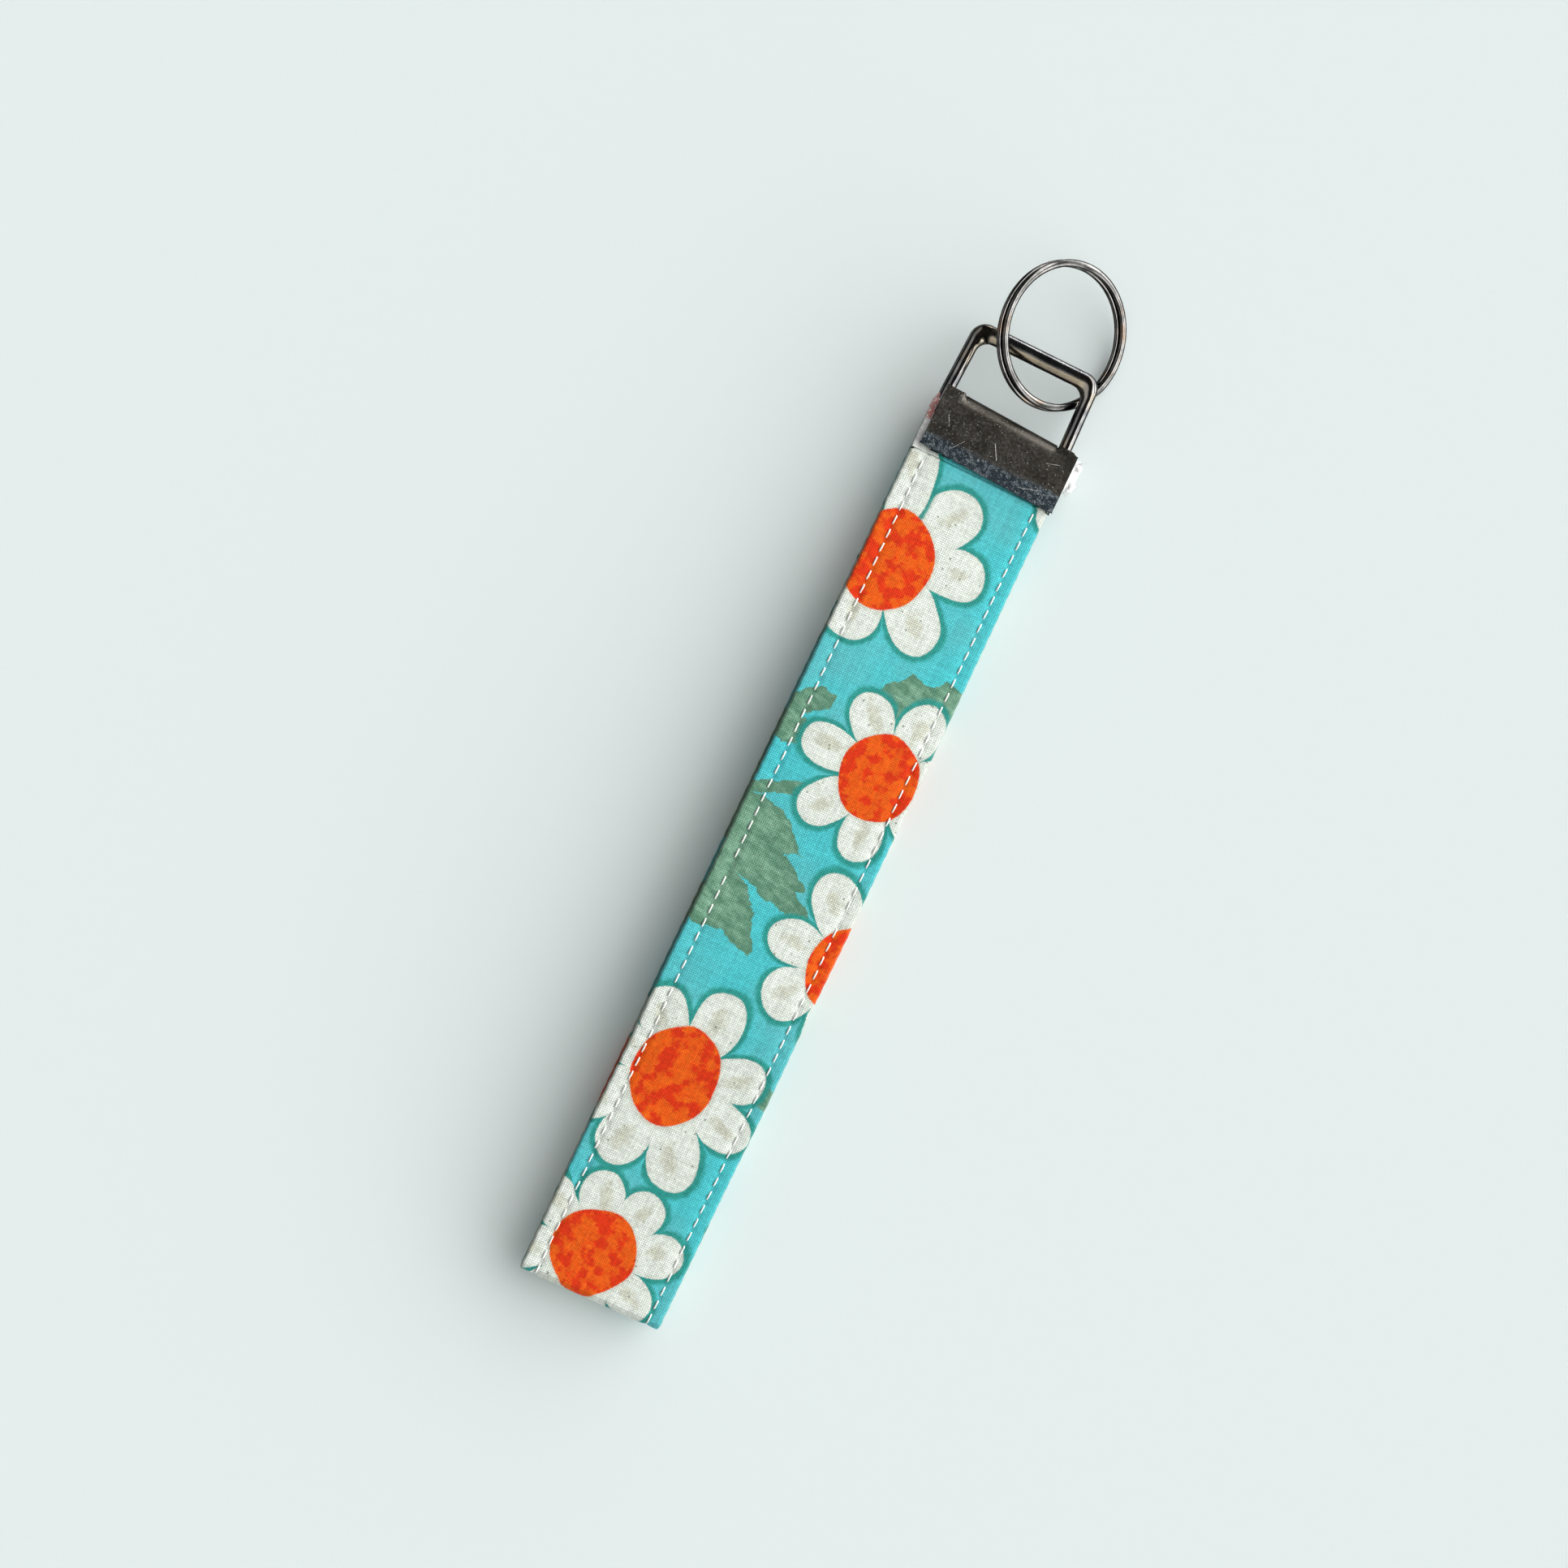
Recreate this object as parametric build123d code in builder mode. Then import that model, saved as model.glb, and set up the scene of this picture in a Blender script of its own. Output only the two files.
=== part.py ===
from build123d import *

import os
from math import cos, radians, sin, sqrt

# Wristlet keychain, in millimetres: a printed fabric strap folded into a wrist loop, a toothed
# metal clamp over its two ends, a cast bail that swings in the clamp's crest, and a split ring.
#
# Frame: it lies on Z = 0 with +Y along the strap, from the fold to the split ring, and X across.
# The strap is one piece of fabric. It is divided here into straight lengths that turn on each
# other about lines across the strap, so that the loop can open for a wrist.

# Overall
overall_length = 195.0
strap_length = 155.0  # from the fold's outside to the lip of the clamp

# Strap
strap_width = 26.0
strap_thick = 1.3  # one layer: cover, core, cover
layer_gap = 0.3  # between the two layers where the clamp and the fold hold them together
belly_rise = 2.3  # how far each layer bows away from the middle plane
slope_length = 50.0  # the lengths next to the clamp and next to the fold
fold_leg = 1.65  # straight part of the fold
knuckle_gap = 0.3  # between two neighbouring lengths
core_thick = 0.7
core_width = 24.4
stitch_depth = 0.12
stitch_width = 0.45
stitch_rows = (-10.2, 10.7)  # X of the two topstitched rows
stitch_end = 1.3  # the rows stop this far from each turning line

# Clamp
clamp_width = 25.4
clamp_shift = 0.8  # it was crimped on a little to the right
clamp_height = 10.6
sheet = 0.7
jaw_gap = 2.9  # inside, between its two walls
lip_reach = 1.0  # from the strap's first turning line to the lip
lip_bend = 0.35  # how far each lip is pressed inwards
lip_height = 2.5
tab_clearance = 0.3  # from the strap's ends to the crest's turning room
tooth = (0.75, 1.4, 0.5)  # along Y, along X, depth into the strap
tooth_count = 10
tooth_pitch = 2.2
tooth_inset = 0.05  # from the lip's edge
notch_inner = 8.8  # the crest is open beyond this distance from the clamp's middle
notch_front = 56.0  # degrees from +Y to the notch's edge on the front
notch_back = 100.0  # and on the back

# Bail
bail_shift = -0.2
bail_height = 15.3  # from the axis in the crest to the outside of the top bar
bail_foot_width = 25.0
bail_top_width = 23.8
bail_leg = 2.3
bail_bar = 3.0
bail_thick = 2.0
bail_corner = 2.9
pin_inset = 0.1  # from the outside of each foot to the pin's end
bail_inner_corner = 1.3
bail_edge = 0.8
pin_radius = 1.37
bail_tilt = 6.0  # degrees, propped up by the ring

# Split ring
ring_outer = 12.7
ring_wire = 1.15  # across, in the ring's plane
coil_thick = 0.72
coil_gap = 0.04
ring_tilt = 28.0  # degrees, left side up
ring_shift = 2.2
jog_place = 215.0  # degrees round the ring
jog_half = 14.0  # degrees each side of it
jog_steps = 4

# Worked out from these
fold_end = -overall_length / 2
half_pitch = (strap_thick + layer_gap) / 2
middle_z = strap_thick / 2 + belly_rise + half_pitch
slope_run = sqrt(slope_length**2 - belly_rise**2)
lip_y = fold_end + strap_length
clamp_line_y = lip_y - lip_reach
fold_centre_y = fold_end + half_pitch + strap_thick / 2
fold_line_y = fold_centre_y + fold_leg
jaw_inner = jaw_gap / 2
jaw_outer = jaw_inner + sheet
crest_y = lip_y + clamp_height - jaw_outer
tab_end_y = crest_y - pin_radius - layer_gap - tab_clearance
knuckle = strap_thick / 2
socket = knuckle + knuckle_gap
core_tip = sqrt(knuckle**2 - (core_thick / 2) ** 2)

# Turning lines across the strap, as (y, z), on the back layer and mirrored on the front layer
back_lines = [
    (clamp_line_y, middle_z - half_pitch),
    (clamp_line_y - slope_run, knuckle),
    (fold_line_y + slope_run, knuckle),
    (fold_line_y, middle_z - half_pitch),
]
front_lines = [(y, 2 * middle_z - z) for y, z in back_lines]

strap_lengths = {
    "back_upper": (back_lines[0], back_lines[1]),
    "back_mid": (back_lines[1], back_lines[2]),
    "back_lower": (back_lines[2], back_lines[3]),
    "front_lower": (front_lines[3], front_lines[2]),
    "front_mid": (front_lines[2], front_lines[1]),
    "front_upper": (front_lines[1], front_lines[0]),
}


def side_view(start, end):
    """Side view of a strap length: X runs from its start line to its end line."""
    run = (0, end[0] - start[0], end[1] - start[1])
    return Plane(origin=(0, *start), x_dir=run, z_dir=(1, 0, 0))


def distance(start, end):
    return sqrt((end[0] - start[0]) ** 2 + (end[1] - start[1]) ** 2)


def length_profile(length):
    """A strap length from the side: a socket at its start line, a round knuckle at its end line."""
    with Locations((length / 2, 0)):
        Rectangle(length, strap_thick)
    with Locations((length, 0)):
        Circle(knuckle)
    Circle(socket, mode=Mode.SUBTRACT)


def core_profile(length):
    with Locations(((length + core_tip) / 2, 0)):
        Rectangle(length + core_tip, core_thick)
    Circle(socket, mode=Mode.SUBTRACT)


def stitch_bars(length, mode=Mode.ADD):
    """Needle thread on one face and bobbin thread on the other, in both rows."""
    depth = knuckle - stitch_depth / 2
    places = [(length / 2, side * depth, row) for side in (-1, 1) for row in stitch_rows]
    with Locations(places):
        Box(length - 2 * stitch_end, stitch_depth, stitch_width, mode=mode)


def fold_profile(half_thick, tip):
    """The folded end from the side: a half ring with two legs, a socket on the back leg."""
    with Locations((fold_centre_y, middle_z)):
        Circle(half_pitch + half_thick)
        Circle(half_pitch - half_thick, mode=Mode.SUBTRACT)
    with Locations((fold_centre_y + strap_thick, middle_z)):
        Rectangle(2 * strap_thick, 4 * strap_thick, mode=Mode.SUBTRACT)
    with Locations((fold_centre_y + fold_leg / 2, middle_z - half_pitch)):
        Rectangle(fold_leg, 2 * half_thick)
    with Locations(back_lines[3]):
        Circle(socket, mode=Mode.SUBTRACT)
    with Locations((fold_centre_y + (fold_leg + tip) / 2, middle_z + half_pitch)):
        Rectangle(fold_leg + tip, 2 * half_thick)


os.makedirs("parts", exist_ok=True)

# Strap lengths: each is a printed cover, a webbing core inside it, and the topstitching
for name, (start, end) in strap_lengths.items():
    view = side_view(start, end)
    length = distance(start, end)

    with BuildPart(view) as cover:
        with BuildSketch(view):
            length_profile(length)
        extrude(amount=strap_width / 2, both=True)
        with Locations((length / 2, 0, 0)):
            Box(2 * length, core_thick, core_width, mode=Mode.SUBTRACT)
        stitch_bars(length, Mode.SUBTRACT)
    cover.part.label = f"{name}_cover"
    export_step(cover.part, f"parts/{name}_cover.step")

    with BuildPart() as core:
        with BuildSketch(view):
            core_profile(length)
        extrude(amount=core_width / 2, both=True)
    core.part.label = f"{name}_core"
    export_step(core.part, f"parts/{name}_core.step")

    with BuildPart(view) as thread:
        stitch_bars(length)
    thread.part.label = f"{name}_thread"
    export_step(thread.part, f"parts/{name}_thread.step")

# Folded end of the strap
with BuildPart() as fold_thread:
    for row in stitch_rows:
        with BuildSketch(Plane.YZ.offset(row)):
            with Locations((fold_centre_y, middle_z)):
                Circle(half_pitch + knuckle)
                Circle(half_pitch + knuckle - stitch_depth, mode=Mode.SUBTRACT)
            with Locations((fold_centre_y + strap_thick, middle_z)):
                Rectangle(2 * strap_thick, 4 * strap_thick, mode=Mode.SUBTRACT)
        extrude(amount=stitch_width / 2, both=True)
fold_thread.part.label = "fold_thread"
export_step(fold_thread.part, "parts/fold_thread.step")

with BuildPart() as fold_core:
    with BuildSketch(Plane.YZ):
        fold_profile(core_thick / 2, core_tip)
    extrude(amount=core_width / 2, both=True)
fold_core.part.label = "fold_core"
export_step(fold_core.part, "parts/fold_core.step")

with BuildPart() as fold_cover:
    with BuildSketch(Plane.YZ):
        fold_profile(knuckle, 0)
        with Locations(front_lines[3]):
            Circle(knuckle)
    extrude(amount=strap_width / 2, both=True)
    add(fold_core.part, mode=Mode.SUBTRACT)
    add(fold_thread.part, mode=Mode.SUBTRACT)
fold_cover.part.label = "fold_cover"
export_step(fold_cover.part, "parts/fold_cover.step")

# Clamp: one sheet bent over the strap's ends, with a round crest for the bail's pin
crest_view = Plane(origin=(clamp_shift, crest_y, middle_z), x_dir=(0, 1, 0), z_dir=(1, 0, 0))
jaw_length = crest_y - lip_y
tooth_y = -jaw_length + tooth[0] / 2 + tooth_inset
tooth_rise = sheet / 2 + tooth[2]
tooth_z = jaw_inner - lip_bend - tooth[2] + tooth_rise / 2
tooth_row = [tooth_pitch * (i - (tooth_count - 1) / 2) for i in range(tooth_count)]
notch_reach = 3 * jaw_outer

with BuildPart(crest_view) as end_clamp:
    with BuildSketch(crest_view):
        Circle(jaw_outer)
        Circle(jaw_inner, mode=Mode.SUBTRACT)
        with Locations((-jaw_outer, 0)):
            Rectangle(2 * jaw_outer, 3 * jaw_outer, mode=Mode.SUBTRACT)
        with BuildLine():
            Polyline(
                (0, jaw_inner),
                (lip_height - jaw_length, jaw_inner),
                (-jaw_length, jaw_inner - lip_bend),
                (-jaw_length, jaw_outer - lip_bend),
                (lip_height - jaw_length, jaw_outer),
                (0, jaw_outer),
                close=True,
            )
        make_face()
        mirror(about=Plane.XZ)
    extrude(amount=clamp_width / 2, both=True)
    with Locations([(tooth_y, side * tooth_z, x) for side in (-1, 1) for x in tooth_row]):
        Box(tooth[0], tooth_rise, tooth[1])
    for side in (-1, 1):
        with BuildSketch(crest_view.offset(side * (clamp_width / 2 + notch_inner) / 2)):
            with BuildLine():
                Polyline(
                    (0, 0),
                    (notch_reach * cos(radians(notch_front)), notch_reach * sin(radians(notch_front))),
                    (notch_reach, notch_reach),
                    (notch_reach, -notch_reach),
                    (notch_reach * cos(radians(notch_back)), -notch_reach * sin(radians(notch_back))),
                    close=True,
                )
            make_face()
        extrude(amount=(clamp_width / 2 - notch_inner) / 2, both=True, mode=Mode.SUBTRACT)
end_clamp.part.label = "end_clamp"
export_step(end_clamp.part, "parts/end_clamp.step")

# The strap's two ends inside the clamp, pressed in by its lips and teeth
back_tab_y = (clamp_line_y + tab_end_y) / 2
tab_length = tab_end_y - clamp_line_y

with BuildPart() as tab_core:
    with BuildSketch(Plane.YZ):
        with Locations((back_tab_y - core_tip / 2, middle_z - half_pitch)):
            Rectangle(tab_length + core_tip, core_thick)
        with Locations((back_tab_y, middle_z + half_pitch)):
            Rectangle(tab_length, core_thick)
        with Locations(front_lines[0]):
            Circle(socket, mode=Mode.SUBTRACT)
    extrude(amount=core_width / 2, both=True)
    add(end_clamp.part, mode=Mode.SUBTRACT)
tab_core.part.label = "tab_core"
export_step(tab_core.part, "parts/tab_core.step")

with BuildPart() as tab_cover:
    with BuildSketch(Plane.YZ):
        with Locations((back_tab_y, middle_z + half_pitch)):
            Rectangle(tab_length, strap_thick)
        with Locations(front_lines[0]):
            Circle(socket, mode=Mode.SUBTRACT)
        with Locations((back_tab_y, middle_z - half_pitch)):
            Rectangle(tab_length, strap_thick)
        with Locations(back_lines[0]):
            Circle(knuckle)
    extrude(amount=strap_width / 2, both=True)
    with Locations([(0, back_tab_y, middle_z + side * half_pitch) for side in (-1, 1)]):
        Box(core_width, 2 * tab_length, core_thick, mode=Mode.SUBTRACT)
    add(end_clamp.part, mode=Mode.SUBTRACT)
tab_cover.part.label = "tab_cover"
export_step(tab_cover.part, "parts/tab_cover.step")

# Bail: a cast frame whose pin turns in the crest
bail_axis = (bail_shift, crest_y, middle_z)
tilt = radians(bail_tilt)
bail_plane = Plane(origin=bail_axis, x_dir=(1, 0, 0), z_dir=(0, -sin(tilt), cos(tilt)))
foot_x = bail_foot_width / 2
top_x = bail_top_width / 2
inner_top = bail_height - bail_bar

with BuildPart() as bail:
    with BuildSketch(bail_plane):
        with BuildLine():
            Polyline((-foot_x, 0), (-top_x, bail_height), (top_x, bail_height), (foot_x, 0), close=True)
        make_face()
        fillet(vertices().group_by(Axis.Y)[-1], bail_corner)
        with BuildSketch(mode=Mode.PRIVATE) as window:
            with BuildLine():
                Polyline(
                    (bail_leg - foot_x, -bail_bar),
                    (bail_leg - top_x, inner_top),
                    (top_x - bail_leg, inner_top),
                    (foot_x - bail_leg, -bail_bar),
                    close=True,
                )
            make_face()
            fillet(vertices().group_by(Axis.Y)[-1], bail_inner_corner)
        add(window.sketch, mode=Mode.SUBTRACT)
    extrude(amount=bail_thick / 2, both=True)
    flat_edges = faces().filter_by(Axis(bail_plane.origin, bail_plane.z_dir)).edges()
    fillet(flat_edges.filter_by(lambda edge: edge.center().Y > crest_y + pin_radius), bail_edge)
    with BuildSketch(Plane.YZ.offset(bail_shift)):
        with Locations((crest_y, middle_z)):
            Circle(pin_radius)
    extrude(amount=foot_x - pin_inset, both=True)
bail.part.label = "bail"
export_step(bail.part, "parts/bail.step")

# Split ring: flat wire wound twice, stepping from the lower coil to the upper one at the jog
lean = radians(ring_tilt)
ring_y = overall_length / 2 - ring_outer
ring_z = ring_outer * sin(lean) + (coil_thick + coil_gap / 2) * cos(lean)
ring_plane = Plane(
    origin=(ring_shift, ring_y, ring_z),
    x_dir=(cos(lean), 0, -sin(lean)),
    z_dir=(sin(lean), 0, cos(lean)),
)
ring_axis = Axis(ring_plane.origin, ring_plane.z_dir)
wire_radius = ring_outer - ring_wire / 2
coil_level = (coil_thick + coil_gap) / 2


def wire_section(angle, level):
    """Plane across the wire at an angle round the ring and a height above the ring's plane."""
    turn = radians(angle)
    radial = ring_plane.x_dir * cos(turn) + ring_plane.y_dir * sin(turn)
    centre = ring_plane.origin + radial * wire_radius + ring_plane.z_dir * level
    return Plane(origin=centre, x_dir=radial, z_dir=ring_plane.z_dir.cross(radial))


with BuildPart() as split_ring:
    for start_angle, level in ((jog_place + jog_half, coil_level), (jog_place + jog_half, -coil_level)):
        with BuildSketch(wire_section(start_angle, level)):
            Rectangle(ring_wire, coil_thick)
        revolve(axis=ring_axis, revolution_arc=360 - 2 * jog_half)
    for i in range(jog_steps + 1):
        share = i / jog_steps
        rise = coil_level * (2 * share * share * (3 - 2 * share) - 1)
        with BuildSketch(wire_section(jog_place + jog_half * (2 * share - 1), rise)):
            Rectangle(ring_wire, coil_thick)
    loft()
split_ring.part.label = "split_ring"
export_step(split_ring.part, "parts/split_ring.step")
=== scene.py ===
import random
from math import atan2, copysign, cos, exp, hypot, pi, radians, sin, sqrt, tan

import bmesh
import bpy
import numpy as np
from mathutils import Matrix, Vector, noise


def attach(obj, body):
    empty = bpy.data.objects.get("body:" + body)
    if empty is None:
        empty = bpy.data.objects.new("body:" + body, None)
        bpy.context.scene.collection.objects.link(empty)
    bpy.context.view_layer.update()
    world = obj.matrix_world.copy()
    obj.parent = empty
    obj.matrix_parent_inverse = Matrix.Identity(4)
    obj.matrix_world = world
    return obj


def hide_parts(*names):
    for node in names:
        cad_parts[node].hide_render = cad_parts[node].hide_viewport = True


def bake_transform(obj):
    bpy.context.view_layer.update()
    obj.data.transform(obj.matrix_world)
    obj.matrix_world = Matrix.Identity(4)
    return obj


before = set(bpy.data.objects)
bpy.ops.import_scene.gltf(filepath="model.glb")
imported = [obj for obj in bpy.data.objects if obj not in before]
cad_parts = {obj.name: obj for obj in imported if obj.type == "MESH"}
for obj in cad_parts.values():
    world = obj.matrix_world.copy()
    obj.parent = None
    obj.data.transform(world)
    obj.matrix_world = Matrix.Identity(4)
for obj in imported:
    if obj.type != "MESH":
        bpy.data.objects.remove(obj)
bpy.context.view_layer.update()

MM = 0.001

# Strap, in millimetres. S is the distance along it from the apex of the fold: above 0 on the front
# layer, below 0 on the back layer.
HALF_WIDTH = 13.0
HALF_THICK = 0.65
HALF_PITCH = 0.8  # from the middle plane to each layer's own middle
MIDDLE_Z = 3.75
RISE = 2.3
SLOPE = 50.0
LEG = 1.65
HINGE_Y = (-94.4, -44.453, 6.553, 56.5)
TURN = atan2(RISE, sqrt(SLOPE**2 - RISE**2))
FOLD_ARC = HALF_PITCH * pi / 2
APEX_Y = -96.85
HINGE_S = (FOLD_ARC + LEG, FOLD_ARC + LEG + SLOPE,
           FOLD_ARC + LEG + SLOPE + HINGE_Y[2] - HINGE_Y[1],
           FOLD_ARC + LEG + 2 * SLOPE + HINGE_Y[2] - HINGE_Y[1])
PIVOT_S = HINGE_S[3]  # where the front layer meets the clamp
TAB_END = PIVOT_S + 7.4
FOLD_JOIN, LOWER_JOIN, UPPER_JOIN = 28.6, 78.0, 130.0  # where the lengths of the strap meet, along S
EASE = (1.2, 7.0, 7.0, 0.9)  # half the length over which each bend is rounded at rest
EDGE_ROUND = 0.38

# Open pivot: the front layer's half-round end in its socket
OPEN_TURN = 60.0  # degrees that each bend turns when the loop is open
SOCKET_ROOM = 0.05
END_SLIM, END_NARROW = 0.96, 0.972  # the end is a little slimmer and narrower than the strap
SEAM_SHARE = 0.06  # how far it reaches at the side seams

# Topstitching
PITCH = 2.6
ROWS = (-10.2, 10.7)
STITCH_GAP = 0.26
THREAD_RADIUS = 0.145
RING_STEP = PITCH / 5  # between the strap's sections
STITCHED_TO = 60 * PITCH

# Clamp
CREST_Y = 65.95
CLAMP_X = 0.8
CLAMP_HALF = 12.7
SHEET = 0.7
SHEET_MID = 1.8
JAW = 8.45
LIP_BEND = 0.35
LIP_HEIGHT = 2.5
NOTCH_HALF = 8.8
NOTCH_FRONT = 42.0  # degrees round the crest
NOTCH_BACK = 1.81  # below the crest's axis
TAB_REACH, TAB_FLARE = 2.1, 0.12  # beside its crest the sheet runs on nearly flat over the bail
LIP_SKEW = 0.040  # it was crimped on slightly askew
CREST_SKEW = 0.046
CREST_REACH = 0.35  # its crest is squashed a little longer than round
CREST_EASE = 5.0
TEETH, TOOTH_PITCH = 10, 2.2
TOOTH_ROOT, TOOTH_TIP = 1.25, 0.62  # from the middle plane

# Split ring
RING_CENTRE = Vector((2.2, 84.8, 6.616))
RING_LEAN = radians(28.0)
WIRE_CIRCLE = 12.125
WIRE = (0.63, 0.385)  # half width and half thickness
COIL_LEVEL = 0.38
SPRUNG, SPRUNG_AT = 0.62, 218.0  # the lower coil has sprung out a little towards this angle

# Bail
BAIL_X = -0.2
BAIL_TILT = radians(6.0)
# painted tan reflection on the lower face of the bail's top bar
BAR_LOW, BAR_REFLECTION_HEIGHT, BAR_END = 78.42, 0.95, 8.4  # the facet under its top bar: from, height, half length

rng = random.Random(7)


# ---------------------------------------------------------------- camera, light, floor

def new_object(name, data):
    made = bpy.data.objects.new(name, data)
    bpy.context.scene.collection.objects.link(made)
    return made


def make_camera():
    """Nearly overhead, a little from the left, and rolled so that the strap leans to the right."""
    target = Vector((-7.39, -4.14, 0)) * MM
    back = Vector((-tan(radians(4.715)), -tan(radians(0.275)), 1)).normalized()
    roll = radians(25.563)
    right = Vector((-sin(roll), cos(roll), 0)).cross(back).normalized()
    up = back.cross(right)
    data = bpy.data.cameras.new("camera")
    data.lens, data.sensor_width = 60.25, 36
    data.clip_start, data.clip_end = 0.01, 20
    camera = new_object("camera", data)
    place = Matrix((right, up, back)).transposed().to_4x4()
    place.translation = target + back * 0.45
    camera.matrix_world = place
    bpy.context.scene.camera = camera


# Radiance of the room against the elevation over the window's side: 0 is its horizon, 90 the zenith
WINDOW = ((0, 5.5), (10, 9.0), (14, 6.3), (18, 5.2), (22, 4.9), (29, 3.1), (38, 1.65), (48, 1.4), (59, 0.98),
          (78, 0.38), (90, 0.25), (180, 0.21))
MIRRORED = ((0, 0.1), (7, 0.3), (10, 9.0), (26, 9.5), (29, 0.2), (35, 0.2), (38, 8.0), (57, 8.0), (62, 0.2),
            (72, 0.05), (99, 0.05), (106, 1.5), (131, 1.5), (137, 0.06), (150, 0.14), (180, 0.12))
WINDOW_WAY = (0.82, 0.57)
BACKDROP = (0.775, 0.846, 0.823, 1)
ROOM_SCALE = 1.285
RAMP_TOP = 16.0
FLOOR_HALF = 4.0  # metres


def make_light():
    """A low, very wide window on the right. The room is dim on the left and overhead."""
    world = bpy.data.worlds.new("room")
    bpy.context.scene.world = world
    world.use_nodes = True
    tree = world.node_tree
    tree.nodes.clear()
    x, y, z = split(add_node(tree, "TexCoord")[0])
    toward = x * WINDOW_WAY[0] + y * WINDOW_WAY[1]
    aside = y * WINDOW_WAY[0] - x * WINDOW_WAY[1]
    height = maths("ARCTAN2", maths("MAXIMUM", z, 0.0), toward) / pi
    rooms = []
    for profile, narrow in ((WINDOW, 0.45), (MIRRORED, 0.95)):
        ramp_node = tree.nodes.new("ShaderNodeValToRGB")
        stops = ramp_node.color_ramp.elements
        while len(stops) < len(profile):
            stops.new(0.5)
        for stop, (degrees, level) in zip(stops, profile):
            stop.position = degrees / 180
            stop.color = (*[level / RAMP_TOP] * 3, 1)
        plug(ramp_node.inputs[0], height)
        strength = (1.0 - aside * aside * narrow) * (RAMP_TOP * ROOM_SCALE)
        rooms += add_node(tree, "Background", (Value(tree, ramp_node.outputs[0]), strength))
    ray = tree.nodes.new("ShaderNodeLightPath").outputs
    mixed = add_node(tree, "MixShader", (Value(tree, ray["Is Glossy Ray"]), *rooms))
    backdrop = add_node(tree, "Background", (BACKDROP,))
    shown = add_node(tree, "MixShader", (Value(tree, ray["Is Camera Ray"]), *mixed, *backdrop))
    add_node(tree, "OutputWorld", shown)
    bpy.context.scene.view_settings.view_transform = "Standard"


def make_floor():
    mesh = bpy.data.meshes.new("floor")
    corners = [(x * FLOOR_HALF, y * FLOOR_HALF, 0) for x, y in ((-1, -1), (1, -1), (1, 1), (-1, 1))]
    mesh.from_pydata(corners, [], [(0, 1, 2, 3)])
    floor = new_object("floor", mesh)
    material, _, shader = new_material("floor")
    finish_shader(shader, Base_Color=(0.785, 0.86, 0.845), Roughness=0.9, Specular_IOR_Level=0.1)
    mesh.materials.append(material)


# ---------------------------------------------------------------- node helpers

class Value:
    """A number, vector or colour in a material, which can be used in sums like a plain number."""

    def __init__(self, tree, socket):
        self.tree, self.socket = tree, socket

    def __add__(self, other):
        return maths("ADD", self, other)

    __radd__ = __add__

    def __sub__(self, other):
        return maths("SUBTRACT", self, other)

    def __rsub__(self, other):
        return maths("SUBTRACT", other, self)

    def __mul__(self, other):
        return maths("MULTIPLY", self, other)

    __rmul__ = __mul__

    def __truediv__(self, other):
        return maths("DIVIDE", self, other)

    def __pow__(self, other):
        return maths("POWER", self, other)


def plug(target, value):
    if isinstance(value, Value):
        value.tree.links.new(value.socket, target)
    elif hasattr(value, "__len__") and len(value) == 3 and target.type == "RGBA":
        target.default_value = (*value, 1)
    else:
        target.default_value = value


def add_node(tree, kind, inputs=(), **settings):
    """The outputs of a new node, with its inputs in order or by number or name."""
    node = tree.nodes.new("ShaderNode" + kind)
    for name, setting in settings.items():
        setattr(node, name, setting)
    for key, value in inputs.items() if isinstance(inputs, dict) else enumerate(inputs):
        plug(node.inputs[key], value)
    return [Value(tree, out) for out in node.outputs]


def maths(operation, *values):
    tree = next(v.tree for v in values if isinstance(v, Value))
    return add_node(tree, "Math", values, operation=operation)[0]


def ramp(value, low, high, start=0.0, end=1.0):
    """Goes smoothly from start to end as value goes from low to high."""
    inputs = (value, low, high, start, end)
    return add_node(value.tree, "MapRange", inputs, interpolation_type="SMOOTHSTEP")[0]


def mix(first, second, share):
    """A colour between two colours."""
    return add_node(share.tree, "Mix", {0: share, 6: first, 7: second}, data_type="RGBA")[2]


def split(vector):
    return add_node(vector.tree, "SeparateXYZ", (vector,))


def join(x, y, z=0.0):
    return add_node(x.tree, "CombineXYZ", (x, y, z))[0]


def stretch(vector, scale):
    return add_node(vector.tree, "VectorMath", (vector, scale), operation="MULTIPLY")[0]


def clouds(place, scale, detail=2.0, rough=0.5):
    """Noise, as (value, colour). The scale is in 1/mm."""
    inputs = {"Vector": place, "Scale": scale, "Detail": detail, "Roughness": rough}
    return add_node(place.tree, "TexNoise", inputs)


def cells(place, scale):
    """(distance from the nearest of some scattered points, a random value that belongs to it)"""
    distance, colour, *_ = add_node(place.tree, "TexVoronoi", {"Vector": place, "Scale": scale})
    return distance, split(colour)[0]


def chance(x, y):
    """Random (value, colour) for a pair of whole numbers."""
    return add_node(x.tree, "TexWhiteNoise", (join(x, y),), noise_dimensions="2D")


def new_material(name):
    """(material, its node tree, its shader)"""
    material = bpy.data.materials.new(name)
    material.use_nodes = True
    tree = material.node_tree
    return material, tree, tree.nodes["Principled BSDF"]


def flat_place(tree):
    """The place on the flat cloth, in millimetres: u round it and v along it."""
    return add_node(tree, "UVMap", uv_map="cloth")[0]


def solid_place(tree):
    """The place in the piece's own space, in millimetres."""
    from_object = add_node(tree, "TexCoord")[3]
    return stretch(from_object, (1 / MM,) * 3)


def add_bump(shader, height, depth, strength):
    """Height from 0 to 1, over a depth in millimetres."""
    inputs = {"Strength": strength, "Distance": depth * MM, "Height": height}
    plug(shader.inputs["Normal"], add_node(height.tree, "Bump", inputs)[0])


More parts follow.
